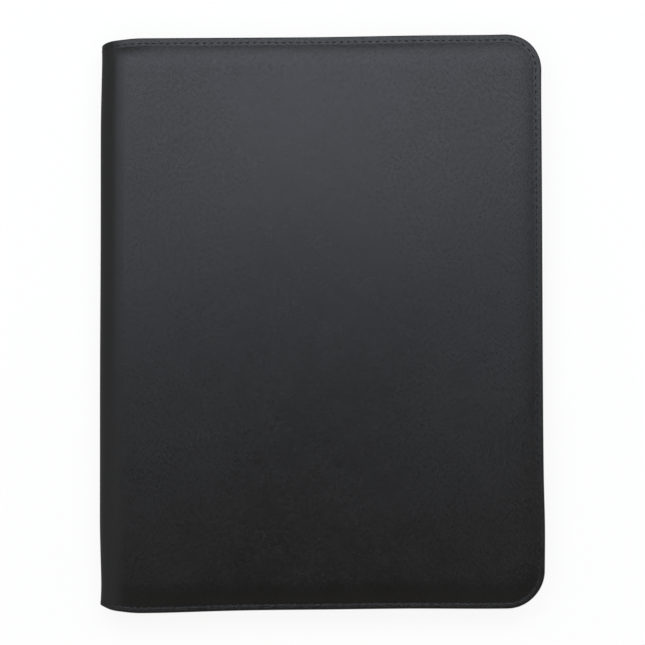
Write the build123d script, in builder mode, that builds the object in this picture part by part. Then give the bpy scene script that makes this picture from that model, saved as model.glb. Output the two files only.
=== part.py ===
from build123d import *
import os
from math import cos, degrees, pi, sin

# Zippered padfolio, closed and lying on its back cover. One wrap of padded leather runs from the front
# cover round the spine to the back cover, and a zip closes the other three sides.
# X runs from the spine to the free edge, Y along the spine, Z up. All sizes are in millimetres.
# The origin is under the middle of the closed case, on the surface that it lies on.
# The case is cut to its contents: its width and height follow the pad, its thickness the pen loop.

# Writing pad, the pocket that holds its backing card, and the room round them
pad_width = 210.0
pad_height = 297.0
pad_sheets_thickness = 4.0
pad_backing_thickness = 1.0
pad_binding_depth = 12.0
pad_binding_thickness = 0.4
pad_side_room = 4.5
pad_end_room = 5.5
pad_pocket_height = 190.0
pad_pocket_hem = 6.0
pocket_thickness = 0.8
pocket_margin = 3.35

# Layers of a cover, from the outside in
skin_thickness = 1.0
foam_thickness = 2.4
board_thickness = 2.0
lining_thickness = 0.6

# Padded form of a cover: a flat sewn flange, a steep shoulder, then a gentle slope up to the crown
corner_radius = 22.0
pad_rise = 2.2
shoulder_rise = 1.4
flange_width = 4.6
crown_run = 5.5
seam_gap = 0.1
crease_gap = 0.3
board_setback = 2.0

# Spine, its filling and the pen loop on it
spine_flat = 4.0
spine_draw_in = 1.5
spine_foam_depth = 2.0
spine_board_thickness = 1.2
spine_board_width = 14.0
spine_lining_width = 16.0
pen_bore = 10.4
pen_loop_wall = 0.8
pen_loop_length = 28.0
pen_loop_base = 6.0
pen_loop_y = 20.0
pen_room = 1.0
pen_side_room = 4.2

# Zip: two tapes sewn under the flanges, a row of moulded teeth on each
zip_inset = 6.0
tape_thickness = 0.7
tape_hem = 4.5
tape_end_inset = 24.0
bead_height = 1.2
tooth_pitch = 3.2
tooth_length = 2.2
tooth_thickness = 2.4
tooth_root_width = 0.9
tooth_tip_width = 1.5
row_gap = 1.2
stop_length = 2.6

# Slider, its cap and its pull
slider_length = 12.0
slider_plate = 1.2
slider_clearance = 0.25
slider_nose = 2.4
shoulder_lip = 1.2
tail_lip = 0.7
lip_clearance = 0.2
post_length = 3.0
post_clearance = 0.15
park_gap = 1.0
cap_length = 8.0
cap_width = 2.4
cap_strip = 0.8
pull_bar = 1.0
pull_clearance = 0.2
pull_arm_width = 1.0
pull_length = 27.0
pull_width = 7.0
pull_thickness = 1.4
pull_slot_length = 8.0
pull_slot_width = 2.6

# Pockets inside the front cover
card_pocket_width = 98.0
card_pocket_height = 64.0
card_pocket_step = 16.0
card_pocket_thickness = 0.6
card_pocket_top_gap = 18.0
document_mouth_gap = 23.0

# Insets from the free edges, and the depth of the spine's filling
cavity_inset = zip_inset + tape_thickness / 2 + crease_gap
shoulder_inset = cavity_inset + skin_thickness
crown_inset = shoulder_inset + crown_run
panel_inset = cavity_inset + pocket_margin
hem_inset = panel_inset + pad_pocket_hem
spine_depth = skin_thickness + spine_foam_depth + spine_board_thickness + lining_thickness
pen_outside = pen_bore / 2 + pen_loop_wall
contents_inset = spine_depth + 2 * pen_outside + pen_side_room

# Closed case, outside
case_width = contents_inset + pad_pocket_hem + pad_width + 2 * pad_side_room + hem_inset
case_height = pad_height + 2 * (pad_end_room + hem_inset)
layers = skin_thickness + foam_thickness + board_thickness + lining_thickness
case_thickness = 2 * (layers + pen_outside + pen_room)
spine_radius = (case_thickness - spine_flat) / 2
half_width = case_width / 2
half_height = case_height / 2
middle_z = case_thickness / 2
middle_plane = Plane.XY.offset(middle_z)
arc_x = spine_radius - half_width
front_arc_z = case_thickness - spine_radius
back_arc_z = spine_radius
crease_angle = 45.0
half_arc = crease_angle - degrees(crease_gap / 2 / spine_radius)

# Heights in the front cover; the back cover is its mirror image in the middle plane
flange_top = case_thickness - pad_rise
flange_bottom = flange_top - 2 * skin_thickness
shoulder_top = flange_top + shoulder_rise
cavity_shoulder = shoulder_top - skin_thickness
cavity_top = case_thickness - skin_thickness
board_top = cavity_top - foam_thickness
board_bottom = board_top - board_thickness
lining_bottom = board_bottom - lining_thickness
back_lining_top = case_thickness - lining_bottom

# Zip wall: its plan is the cover's outline, drawn in by zip_inset, from tape end to tape end
wall_x = half_width - zip_inset
wall_y = half_height - zip_inset
wall_radius = corner_radius - zip_inset
corner_x = wall_x - wall_radius
corner_y = wall_y - wall_radius
tape_end_x = tape_end_inset - half_width
lower_row_start = tape_end_x + stop_length
side_run = corner_x - lower_row_start
side_count = int(side_run / tooth_pitch)
side_pitch = side_run / side_count
free_count = int(2 * corner_y / tooth_pitch)
free_pitch = 2 * corner_y / free_count
corner_count = int(wall_radius * pi / 2 / tooth_pitch)
tip_offset = row_gap / 2
bead_offset = tip_offset + tooth_length
tape_offset = bead_offset + bead_height
hem_bottom = flange_bottom - tape_thickness

# The slider parks on the lower row, just short of where the upper row begins
park_x = lower_row_start + park_gap + slider_length / 2
upper_row_start = park_x + slider_length / 2 + park_gap + stop_length
plate_inner = tooth_thickness / 2 + slider_clearance
plate_outer = plate_inner + slider_plate
lip_inner = tape_offset + lip_clearance
lip_gap = tape_thickness / 2 + lip_clearance
slider_plane = Plane(origin=(park_x, -wall_y, middle_z), x_dir=(1, 0, 0), z_dir=(0, -1, 0))
pull_axis_height = plate_outer + pull_clearance + pull_bar / 2
cap_inside = pull_axis_height + pull_bar / 2 + pull_clearance
arm_inner = cap_width / 2 + pull_clearance
tab_start = slider_length / 2 + pull_clearance

# Places of the contents
board_left = arc_x + board_setback
inner_left = contents_inset - half_width
inner_right = half_width - panel_inset
inner_top = half_height - panel_inset
pad_x = inner_left + pad_pocket_hem + pad_side_room + pad_width / 2
pad_top_y = pad_height / 2
pocket_top = back_lining_top + pad_backing_thickness + pocket_thickness
sheets_top = pocket_top + pad_sheets_thickness
card_pocket_bottom = inner_top - card_pocket_top_gap - card_pocket_height
document_pocket_height = card_pocket_bottom - document_mouth_gap + inner_top
spine_foam_x = skin_thickness + spine_foam_depth - half_width
spine_lining_x = spine_depth - half_width
pen_axis_x = spine_lining_x + pen_outside
spine_half = half_height - spine_draw_in
spine_fill_length = 2 * (spine_half - crown_inset)

os.makedirs("parts", exist_ok=True)


def write(piece, name):
    """Labels a finished piece and writes it as a node of that name."""
    piece.part.label = name
    export_step(piece.part, f"parts/{name}.step")


def cover_plan(height, inset, left):
    """The cover's plan at a height: square at x = left, round at the two free corners, drawn in by inset."""
    right = half_width - inset
    with BuildSketch(Plane.XY.offset(height)) as plan:
        with Locations(((left + right) / 2, 0)):
            Rectangle(right - left, 2 * (half_height - inset))
        fillet(plan.vertices().group_by(Axis.X)[-1], corner_radius - inset)
    return plan.sketch


def wall_plan(height, outer_inset, inner_inset):
    """A strip that follows the three free sides between two insets, from tape end to tape end."""
    with BuildSketch(Plane.XY.offset(height)) as strip:
        add(cover_plan(0, outer_inset, tape_end_x))
        add(cover_plan(0, inner_inset, tape_end_x), mode=Mode.SUBTRACT)
    return strip.sketch


def slope(low, low_inset, high, high_inset, left):
    """The two plans between which a sloping side of a cover is lofted."""
    return [cover_plan(low, low_inset, left).face(), cover_plan(high, high_inset, left).face()]


def wrap_section(plane, half_length):
    """Section of the leather wrap: along the spine by local x, out from the arc's axis by local y."""
    axis_depth = case_thickness - spine_radius
    crown = (half_length - crown_inset, spine_radius)
    shoulder = (half_length - shoulder_inset, shoulder_top - axis_depth)
    flange_start = (half_length - flange_width, flange_top - axis_depth)
    edge = (half_length, flange_top - axis_depth)
    edge_under = (half_length, flange_bottom - axis_depth)
    cavity_edge = (half_length - cavity_inset, flange_bottom - axis_depth)
    cavity_bend = (half_length - cavity_inset, cavity_shoulder - axis_depth)
    cavity_crown = (half_length - crown_inset, spine_radius - skin_thickness)
    outside = [crown, shoulder, flange_start, edge]
    inside = [edge_under, cavity_edge, cavity_bend, cavity_crown]
    half = outside + inside
    other_half = [(-along, out) for along, out in reversed(half)]
    with BuildSketch(plane) as section:
        with BuildLine():
            Polyline(*half, *other_half, close=True)
        make_face()
    return section.sketch


def arc_axis(height, direction):
    """Axis of a spine arc, along Y, turning the given way."""
    return Axis((arc_x, 0, height), (0, direction, 0))


# Leather skins of the covers: a padded tray with a sewn flange, curling round to its half of the spine's arc
for side in ("front", "back"):
    with BuildPart() as skin:
        extrude(cover_plan(flange_bottom, 0, arc_x), amount=flange_top - flange_bottom)
        loft(slope(flange_top, flange_width, shoulder_top, shoulder_inset, arc_x), ruled=True)
        loft(slope(shoulder_top, shoulder_inset, case_thickness, crown_inset, arc_x), ruled=True)
        cavity = cover_plan(flange_bottom, cavity_inset, arc_x)
        extrude(cavity, amount=cavity_shoulder - flange_bottom, mode=Mode.SUBTRACT)
        cavity_slope = slope(cavity_shoulder, cavity_inset, cavity_top, crown_inset, arc_x)
        loft(cavity_slope, ruled=True, mode=Mode.SUBTRACT)
        curl = wrap_section(Plane((arc_x, 0, front_arc_z), (0, 1, 0), (1, 0, 0)), half_height)
        revolve(curl, axis=arc_axis(front_arc_z, -1), revolution_arc=half_arc)
        if side == "back":
            mirror(about=middle_plane, mode=Mode.REPLACE)
    write(skin, f"{side}_skin")

# Foam between skin and board
for side in ("front", "back"):
    with BuildPart() as foam:
        foam_inset = cavity_inset + seam_gap
        foam_edge = cavity_shoulder - seam_gap
        extrude(cover_plan(board_top, foam_inset, board_left), amount=foam_edge - board_top)
        loft(slope(foam_edge, foam_inset, cavity_top, crown_inset + seam_gap, board_left), ruled=True)
        if side == "back":
            mirror(about=middle_plane, mode=Mode.REPLACE)
    write(foam, f"{side}_foam")

# Stiff boards of the covers
for side in ("front", "back"):
    with BuildPart() as board:
        extrude(cover_plan(board_bottom, cavity_inset + seam_gap, board_left), amount=board_thickness)
        if side == "back":
            mirror(about=middle_plane, mode=Mode.REPLACE)
    write(board, f"{side}_board")

# Linings, glued over the boards inside the zip wall
for side in ("front", "back"):
    with BuildPart() as lining:
        extrude(cover_plan(lining_bottom, cavity_inset, arc_x), amount=lining_thickness)
        if side == "back":
            mirror(about=middle_plane, mode=Mode.REPLACE)
    write(lining, f"{side}_lining")

# Leather of the spine, between its two creases
with BuildPart() as spine_skin:
    upper_end = wrap_section(Plane((arc_x, 0, front_arc_z), (0, 1, 0), (0, 0, 1)), spine_half)
    lower_end = wrap_section(Plane((arc_x, 0, back_arc_z), (0, 1, 0), (0, 0, 1)), spine_half)
    revolve(upper_end, axis=arc_axis(front_arc_z, 1), revolution_arc=half_arc)
    revolve(lower_end, axis=arc_axis(back_arc_z, -1), revolution_arc=half_arc)
    extrude(lower_end, amount=front_arc_z - back_arc_z)
write(spine_skin, "spine_skin")

# Foam that rounds the spine out, with a flat inner face
inside_radius = spine_radius - skin_thickness - seam_gap
with BuildPart() as spine_foam:
    with BuildSketch(Plane.XZ.offset(-spine_fill_length / 2)) as fill:
        with Locations((arc_x + inside_radius, middle_z)):
            Rectangle(4 * inside_radius, front_arc_z - back_arc_z + 2 * inside_radius)
        fillet(fill.vertices().group_by(Axis.X)[0], inside_radius)
        with Locations((spine_foam_x - spine_foam_depth / 2, middle_z)):
            Rectangle(spine_foam_depth, case_thickness, mode=Mode.INTERSECT)
    extrude(amount=spine_fill_length)
write(spine_foam, "spine_foam")

# Stiffener strip of the spine
with BuildPart() as spine_board:
    with Locations((spine_foam_x, 0, middle_z)):
        Box(
            spine_board_thickness,
            spine_fill_length,
            spine_board_width,
            align=(Align.MIN, Align.CENTER, Align.CENTER),
        )
write(spine_board, "spine_board")

# Lining strip of the spine
with BuildPart() as spine_lining:
    with Locations((spine_lining_x, 0, middle_z)):
        Box(
            lining_thickness,
            spine_fill_length,
            spine_lining_width,
            align=(Align.MAX, Align.CENTER, Align.CENTER),
        )
write(spine_lining, "spine_lining")

# Elastic loop for a pen, sewn to the spine lining by its base
with BuildPart() as pen_loop:
    with BuildSketch(Plane.XZ.offset(-pen_loop_y - pen_loop_length / 2)):
        with Locations((pen_axis_x, middle_z)):
            Circle(pen_outside)
        with Locations((spine_lining_x, middle_z)):
            Rectangle(pen_outside, pen_loop_base, align=(Align.MIN, Align.CENTER))
        with Locations((pen_axis_x, middle_z)):
            Circle(pen_bore / 2, mode=Mode.SUBTRACT)
    extrude(amount=pen_loop_length)
write(pen_loop, "pen_loop")

# Zip tapes: a standing wall with a hem folded out under the flange
for side in ("upper", "lower"):
    with BuildPart() as tape:
        wall_outside = zip_inset - tape_thickness / 2
        wall_inside = zip_inset + tape_thickness / 2
        tape_edge = middle_z + tape_offset
        extrude(wall_plan(tape_edge, wall_outside, wall_inside), amount=flange_bottom - tape_edge)
        extrude(wall_plan(hem_bottom, wall_inside - tape_hem, wall_inside), amount=tape_thickness)
        if side == "lower":
            mirror(about=middle_plane, mode=Mode.REPLACE)
    write(tape, f"{side}_zip_tape")


def tooth_outline(place):
    """Outline of one tooth, from root to root: a dovetail, with a narrow root and a wide tip."""
    rising = [(place - tooth_root_width / 2, bead_offset), (place - tooth_tip_width / 2, tip_offset)]
    falling = [(place + tooth_tip_width / 2, tip_offset), (place + tooth_root_width / 2, bead_offset)]
    return rising + falling


def comb_plan(plane, start, end, places):
    """Side view of a straight run of teeth on its bead, from start to end, with a tooth at each place."""
    points = [(start, tape_offset), (start, bead_offset)]
    for place in places:
        points += tooth_outline(place)
    points += [(end, bead_offset), (end, tape_offset)]
    with BuildSketch(plane.offset(-tooth_thickness / 2)) as comb:
        with BuildLine():
            Polyline(*points, close=True)
        make_face()
    return comb.sketch


def corner_plane(turn, side_sign):
    """Plane on the zip wall at a turn round a free corner: x along the wall, y up, z out."""
    out = (cos(turn), sin(turn), 0)
    inner_radius = wall_radius - tooth_thickness / 2
    origin_x = corner_x + inner_radius * out[0]
    origin_y = side_sign * corner_y + inner_radius * out[1]
    return Plane((origin_x, origin_y, middle_z), (-sin(turn), cos(turn), 0), out)


# Rows of teeth: each stands on a bead along the edge of its tape, half a pitch out of step with the other
for side, row_start, phase in (("upper", upper_row_start, 0.25), ("lower", lower_row_start, 0.75)):
    near_plane = Plane((0, -wall_y, middle_z), (1, 0, 0), (0, -1, 0))
    free_plane = Plane((wall_x, 0, middle_z), (0, 1, 0), (1, 0, 0))
    far_plane = Plane((0, wall_y, middle_z), (-1, 0, 0), (0, 1, 0))
    near_steps = [lower_row_start + (step + phase) * side_pitch for step in range(side_count)]
    near_places = [place for place in near_steps if place - tooth_tip_width / 2 > row_start]
    far_places = [(step + phase) * side_pitch - corner_x for step in range(side_count)]
    free_places = [(step + phase) * free_pitch - corner_y for step in range(free_count)]
    turns = [(step + phase) / corner_count * pi / 2 for step in range(corner_count)]
    with BuildPart() as teeth:
        extrude(comb_plan(near_plane, row_start, corner_x, near_places), amount=tooth_thickness)
        extrude(comb_plan(free_plane, -corner_y, corner_y, free_places), amount=tooth_thickness)
        extrude(comb_plan(far_plane, -corner_x, -lower_row_start, far_places), amount=tooth_thickness)
        for side_sign, first_turn in ((-1, -pi / 2), (1, 0)):
            quadrant = (Align.MIN, Align.MIN if side_sign > 0 else Align.MAX)
            with BuildSketch(Plane.XY.offset(middle_z + bead_offset)):
                with Locations((corner_x, side_sign * corner_y)):
                    Circle(wall_radius + tooth_thickness / 2)
                    Circle(wall_radius - tooth_thickness / 2, mode=Mode.SUBTRACT)
                    Rectangle(corner_radius, corner_radius, align=quadrant, mode=Mode.INTERSECT)
            extrude(amount=bead_height)
            with BuildSketch(*[corner_plane(first_turn + turn, side_sign) for turn in turns]):
                with BuildLine():
                    Polyline(*tooth_outline(0), close=True)
                make_face()
            extrude(amount=tooth_thickness)
        if side == "lower":
            mirror(about=middle_plane, mode=Mode.REPLACE)
    write(teeth, f"{side}_zip_teeth")

# End stops, clamped on the tape edge at both ends of each row
for side, row_start in (("upper", upper_row_start), ("lower", lower_row_start)):
    stop_height = tape_offset - tip_offset
    with BuildPart() as stops:
        for stop_x, stop_y in ((row_start - stop_length, -wall_y), (tape_end_x, wall_y)):
            with Locations((stop_x, stop_y, middle_z + tip_offset)):
                Box(
                    stop_length,
                    tooth_thickness,
                    stop_height,
                    align=(Align.MIN, Align.CENTER, Align.MIN),
                )
        if side == "lower":
            mirror(about=middle_plane, mode=Mode.REPLACE)
    write(stops, f"{side}_zip_stops")

# Slider: two plates with lips that grip the rows, wider at the shoulders, joined by the post that parts them
with BuildPart() as slider_body:
    nose_x = -slider_length / 2
    shoulder_half = lip_inner + shoulder_lip
    tail_half = lip_inner + tail_lip
    nose = (nose_x, lip_inner - slider_nose)
    upper_edge = [nose, (nose_x + slider_nose, shoulder_half), (slider_length / 2, tail_half)]
    lower_edge = [(along, -across) for along, across in reversed(upper_edge)]
    with BuildSketch(slider_plane.offset(-plate_outer)) as shield:
        with BuildLine():
            Polyline(*upper_edge, *lower_edge, close=True)
        make_face()
        fillet(shield.vertices(), shoulder_lip)
    extrude(amount=2 * plate_outer)
    with BuildSketch(slider_plane.offset(-plate_inner)):
        Rectangle(slider_length, 2 * lip_inner)
    extrude(amount=2 * plate_inner, mode=Mode.SUBTRACT)
    with BuildSketch(slider_plane.offset(-lip_gap)):
        Rectangle(slider_length, 2 * shoulder_half)
    extrude(amount=2 * lip_gap, mode=Mode.SUBTRACT)
    with BuildSketch(slider_plane.offset(-plate_inner)):
        with Locations((nose_x, 0)):
            Rectangle(post_length, row_gap - 2 * post_clearance, align=(Align.MIN, Align.CENTER))
    extrude(amount=2 * plate_inner)
write(slider_body, "slider_body")

# Cap: an arched strip over the slider's outer plate, which the pull hangs on
with BuildPart() as slider_cap:
    with BuildSketch(Plane(slider_plane.origin, (1, 0, 0), (0, 0, 1))):
        with Locations((0, -plate_outer)):
            Rectangle(cap_length, cap_inside + cap_strip - plate_outer, align=(Align.CENTER, Align.MAX))
            Rectangle(
                cap_length - 2 * cap_strip,
                cap_inside - plate_outer,
                align=(Align.CENTER, Align.MAX),
                mode=Mode.SUBTRACT,
            )
    extrude(amount=cap_width / 2, both=True)
    fillet(slider_cap.edges().filter_by(Axis.Z).group_by(Axis.Y)[0], cap_strip)
write(slider_cap, "slider_cap")

# Pull: a bar under the cap, two arms past its sides and a flat tab with a slot
pull_plane = slider_plane.offset(pull_axis_height)
with BuildPart() as pull_tab:
    with BuildSketch(Plane(pull_plane.origin, (1, 0, 0), (0, 0, 1))):
        Circle(pull_bar / 2)
    extrude(amount=arm_inner + pull_arm_width, both=True)
    with BuildSketch(pull_plane):
        for sign in (-1, 1):
            with Locations((0, sign * (arm_inner + pull_arm_width / 2))):
                Rectangle(tab_start, pull_arm_width, align=(Align.MIN, Align.CENTER))
    extrude(amount=pull_bar / 2, both=True)
    neck_half = arm_inner + pull_arm_width
    with BuildSketch(pull_plane):
        with Locations((tab_start + neck_half, 0)):
            Circle(neck_half)
        with Locations((pull_length - pull_width / 2, 0)):
            Circle(pull_width / 2)
        make_hull()
        with Locations((tab_start, 0)):
            Rectangle(neck_half, 2 * neck_half, align=(Align.MIN, Align.CENTER))
        with Locations((pull_length - pull_width / 2 - pull_slot_length / 2 + pull_slot_width / 2, 0)):
            SlotOverall(pull_slot_length, pull_slot_width, mode=Mode.SUBTRACT)
    extrude(amount=pull_thickness / 2, both=True)
write(pull_tab, "pull_tab")

# Writing pad: backing card in the pocket, sheets over it, both held by a binding strip along the top
with BuildPart() as pad_backing:
    with Locations((pad_x, 0, back_lining_top)):
        Box(pad_width, pad_height, pad_backing_thickness, align=(Align.CENTER, Align.CENTER, Align.MIN))
write(pad_backing, "pad_backing")

with BuildPart() as pad_sheets:
    with Locations((pad_x, 0, pocket_top)):
        Box(pad_width, pad_height, pad_sheets_thickness, align=(Align.CENTER, Align.CENTER, Align.MIN))
write(pad_sheets, "pad_sheets")

with BuildPart() as pad_binding:
    with BuildSketch(Plane.YZ.offset(pad_x - pad_width / 2)):
        with BuildLine():
            Polyline(
                (pad_top_y - pad_binding_depth, sheets_top),
                (pad_top_y, sheets_top),
                (pad_top_y, back_lining_top),
                (pad_top_y + pad_binding_thickness, back_lining_top),
                (pad_top_y + pad_binding_thickness, sheets_top + pad_binding_thickness),
                (pad_top_y - pad_binding_depth, sheets_top + pad_binding_thickness),
                close=True,
            )
        make_face()
    extrude(amount=pad_width)
write(pad_binding, "pad_binding")

def pocket_plan(height, inset, left, tall):
    """Plan of a pocket panel: the cover's plan, cut straight across so that it is as tall as asked."""
    with BuildSketch(Plane.XY.offset(height)) as panel:
        add(cover_plan(0, inset, left))
        with Locations((0, inset - half_height)):
            Rectangle(case_width, tall, align=(Align.CENTER, Align.MIN), mode=Mode.INTERSECT)
    return panel.sketch


# Pocket for the pad's card: a panel over it, hemmed down to the lining on three sides and open at the top
with BuildPart() as pad_pocket:
    panel = pocket_plan(back_lining_top, panel_inset, inner_left, pad_pocket_height)
    extrude(panel, amount=pad_backing_thickness + pocket_thickness)
    hollow_left = inner_left + pad_pocket_hem
    hollow = pocket_plan(back_lining_top, hem_inset, hollow_left, pad_pocket_height)
    extrude(hollow, amount=pad_backing_thickness, mode=Mode.SUBTRACT)
write(pad_pocket, "pad_pocket")

# Document pocket inside the front cover
with BuildPart() as document_pocket:
    document_bottom = lining_bottom - pocket_thickness
    panel = pocket_plan(document_bottom, panel_inset, inner_left, document_pocket_height)
    extrude(panel, amount=pocket_thickness)
write(document_pocket, "document_pocket")

# Card pockets: three panels on one another, each a step shorter, so that their mouths stand in steps
for layer, name in enumerate(("upper", "middle", "lower")):
    with BuildPart() as card_pocket:
        with Locations((inner_right, card_pocket_bottom, lining_bottom - layer * card_pocket_thickness)):
            Box(
                card_pocket_width,
                card_pocket_height - layer * card_pocket_step,
                card_pocket_thickness,
                align=(Align.MAX, Align.MIN, Align.MAX),
            )
    write(card_pocket, f"card_pocket_{name}")
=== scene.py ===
import bmesh
import bpy
import numpy as np
from mathutils import Matrix, Vector


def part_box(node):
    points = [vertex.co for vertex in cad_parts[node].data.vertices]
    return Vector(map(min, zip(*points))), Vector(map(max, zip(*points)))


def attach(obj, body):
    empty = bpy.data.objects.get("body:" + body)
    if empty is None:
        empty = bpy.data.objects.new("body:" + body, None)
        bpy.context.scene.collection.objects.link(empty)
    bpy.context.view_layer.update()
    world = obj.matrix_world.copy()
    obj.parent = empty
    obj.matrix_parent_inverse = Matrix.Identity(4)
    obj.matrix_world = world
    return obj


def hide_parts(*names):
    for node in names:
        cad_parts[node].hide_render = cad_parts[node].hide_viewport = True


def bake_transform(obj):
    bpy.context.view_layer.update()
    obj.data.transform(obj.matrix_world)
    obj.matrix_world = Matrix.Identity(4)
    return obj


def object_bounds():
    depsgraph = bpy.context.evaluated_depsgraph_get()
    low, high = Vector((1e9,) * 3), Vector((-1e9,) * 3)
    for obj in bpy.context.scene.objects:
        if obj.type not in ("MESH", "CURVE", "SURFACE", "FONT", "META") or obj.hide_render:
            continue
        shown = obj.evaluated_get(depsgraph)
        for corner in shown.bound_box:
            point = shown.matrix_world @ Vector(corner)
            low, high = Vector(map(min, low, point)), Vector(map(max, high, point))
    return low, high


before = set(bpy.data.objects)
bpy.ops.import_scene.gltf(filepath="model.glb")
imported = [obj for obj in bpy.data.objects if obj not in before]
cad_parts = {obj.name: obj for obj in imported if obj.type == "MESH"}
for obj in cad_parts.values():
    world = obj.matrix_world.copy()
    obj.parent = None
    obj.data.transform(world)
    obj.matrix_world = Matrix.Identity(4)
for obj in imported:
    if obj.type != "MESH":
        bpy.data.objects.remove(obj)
cad_low, cad_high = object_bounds()

# Leather wrap: one sheet of soft black leather over thin foam, from the front cover round the spine to the
# back cover. It is cut here at the middle of the spine into a front and a back half. Its rim is turned under
# on all sides, sewn down flat on a narrow flange, and the padding swells up inside the stitching.
mm = 0.001
half_width = cad_high.x / mm
half_height = cad_high.y / mm
thickness = cad_high.z / mm
corner_radius = 22.0
spine_radius = 11.0
arc_x = spine_radius - half_width
core, core_y = half_width - corner_radius, half_height - corner_radius
leather_end = arc_x - spine_radius * np.pi / 2 - (thickness / 2 - spine_radius)
cover_rise, spine_rise = 2.2, 0.85
cover_filling, spine_filling = 3.4, 3.0
flange_width = 4.3
pillow_run = 14.0
seam_inset = 3.4
seam_depth, seam_spread = 0.07, 0.45
flange_lift = 0.17
rim_radius = 1.0
crown_ring = 20.0
under_flange = 5.9
inside_near, inside_far = 6.3, 13.8
spine_pinch, end_pinch = 2.5, 1.0
near_bow, far_bow = 1.2, 0.75
belly = 0.8
most_slack = 0.16


def smooth(value, start, end):
    """0 before start, 1 after end, and a smooth S between them."""
    share = np.clip((value - start) / (end - start), 0, 1)
    return share * share * (3 - 2 * share)


def bell(value, place, spread):
    """A soft bump of height 1 at a place, down to 1/e one spread away."""
    return np.exp(-((value - place) / spread) ** 2)


def grid_faces(rows, columns, closed=False):
    """Quads of a grid of rows by columns points; closed also joins the last column to the first."""
    index = np.arange(rows * columns).reshape(rows, columns)
    if closed:
        index = np.column_stack((index, index[:, 0]))
    corners = (index[:-1, :-1], index[:-1, 1:], index[1:, 1:], index[1:, :-1])
    return np.stack(corners, axis=-1).reshape(-1, 4)


def gathered(patches):
    """Several (points, faces) patches as one, with the later faces counted on from the earlier points."""
    points = [np.asarray(p, float).reshape(-1, 3) for p, f in patches]
    starts = np.cumsum([0] + [len(p) for p in points[:-1]])
    faces = [f + start for (p, f), start in zip(patches, starts)]
    return np.concatenate(points), np.concatenate(faces)


def add_object(name, data):
    """A new object at the origin, linked to the scene."""
    made = bpy.data.objects.new(name, data)
    bpy.context.scene.collection.objects.link(made)
    return made


def add_piece(name, points, faces, lay=None, crease=40.0, cap=None):
    """A mesh from points in millimetres. Points in one place are welded, a quad with a welded side becomes a
    triangle, normals are turned outwards, and edges sharper than crease degrees stay sharp. lay is each
    point's place in the flat sheet, kept as an attribute for materials that follow the surface, and cap lists
    the points of a flat end."""
    cells_to_a_mm, off_border = 500, 0.37
    places = np.floor(points * cells_to_a_mm + off_border).astype(np.int64)
    kept, index = np.unique(places, axis=0, return_index=True, return_inverse=True)[1:]
    faces = index.reshape(-1)[faces]
    repeats = faces == np.roll(faces, -1, axis=1)
    welded = repeats.sum(axis=1)
    whole = faces[welded == 0]
    thirds = faces[welded == 1][~repeats[welded == 1]].reshape(-1, 3)
    ends = [] if cap is None else [index.reshape(-1)[cap].tolist()]
    mesh = bpy.data.meshes.new(name)
    mesh.from_pydata(points[kept] * mm, [], whole.tolist() + thirds.tolist() + ends)
    if lay is not None:
        attribute = mesh.attributes.new("lay", "FLOAT_VECTOR", "POINT")
        flat = np.column_stack((lay[kept], np.zeros(len(kept))))
        attribute.data.foreach_set("vector", (flat * mm).astype(np.float32).ravel())
    work = bmesh.new()
    work.from_mesh(mesh)
    bmesh.ops.recalc_face_normals(work, faces=work.faces)
    work.to_mesh(mesh)
    work.free()
    mesh.shade_smooth()
    mesh.set_sharp_from_angle(angle=np.radians(crease))
    return add_object(name, mesh)


def rim_section():
    """The wrap's section across its rim, from the crown outwards, round the turned edge and back inside.
    Gives for each node its inset from the edge, its share of the padding's rise and its depth in the
    fold. The pillow falls with a power of the way across it, and the seam's groove is a bell."""
    pillow = np.linspace(0, 1, 15)
    pillow_inset = flange_width + pillow_run * (1 - pillow)
    pillow_share = pillow ** 2.3
    flange = np.linspace(flange_width, rim_radius, 11)[1:]
    dip = seam_depth * bell(flange, seam_inset, seam_spread)
    lift = flange_lift * (flange_width - flange) / (flange_width - rim_radius)
    turn = np.linspace(0, np.pi, 9)[1:]
    turn_inset = rim_radius * (1 - np.sin(turn))
    turn_fold = rim_radius * (1 - np.cos(turn)) - flange_lift * np.cos(turn / 2) ** 2
    inside_inset = [seam_inset, under_flange, inside_near, inside_far, corner_radius]
    inside_fold = [2 * rim_radius, 2 * rim_radius, cover_filling, cover_filling, cover_filling]
    inset = [[corner_radius, crown_ring], pillow_inset, flange, turn_inset, inside_inset]
    share = [[0, 0], pillow_share, np.ones(10), np.ones(8), [1, 1, 0, 0, 0]]
    fold = [[0, 0], np.zeros(15), dip - lift, turn_fold, inside_fold]
    return tuple(np.concatenate(part) for part in (inset, share, fold))


def hand_made(x, y):
    """How far the sewn case is out of true in x and y, as bells and smooth steps. The far free corner stands
    proud and the near one is drawn in. The free edge leans out towards the far end and just above the near
    corner. The near edge is taken in beyond the middle and sags by the spine, where its last end comes up
    again, and the far edge falls towards the spine."""
    past_centre = 15
    from_far_corner = (x - core - past_centre) ** 2 + (y - core_y - past_centre) ** 2
    from_near_corner = (x - core - past_centre) ** 2 + (y + core_y + past_centre) ** 2
    proud = 0.9 * np.exp(-from_far_corner / 300)
    drawn_in = 0.28 * np.exp(-from_near_corner / 250)
    near_edge = 0.35 * bell(x, 50, 35) - 1.6 * bell(x, -108, 48) + 0.8 * smooth(-x, 122, half_width)
    far_edge = 0.2 - 0.75 * smooth(-x, -70, 10)
    far_share = (y + half_height) / (2 * half_height)
    lean_out = (1.2 * smooth(y, -100, 140) + 0.4 * bell(y, -122, 20)) * smooth(x, 20, half_width)
    off_y = near_edge * (1 - far_share) + far_edge * far_share + 0.7 * proud + drawn_in
    return lean_out + 0.7 * proud - drawn_in, off_y


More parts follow.
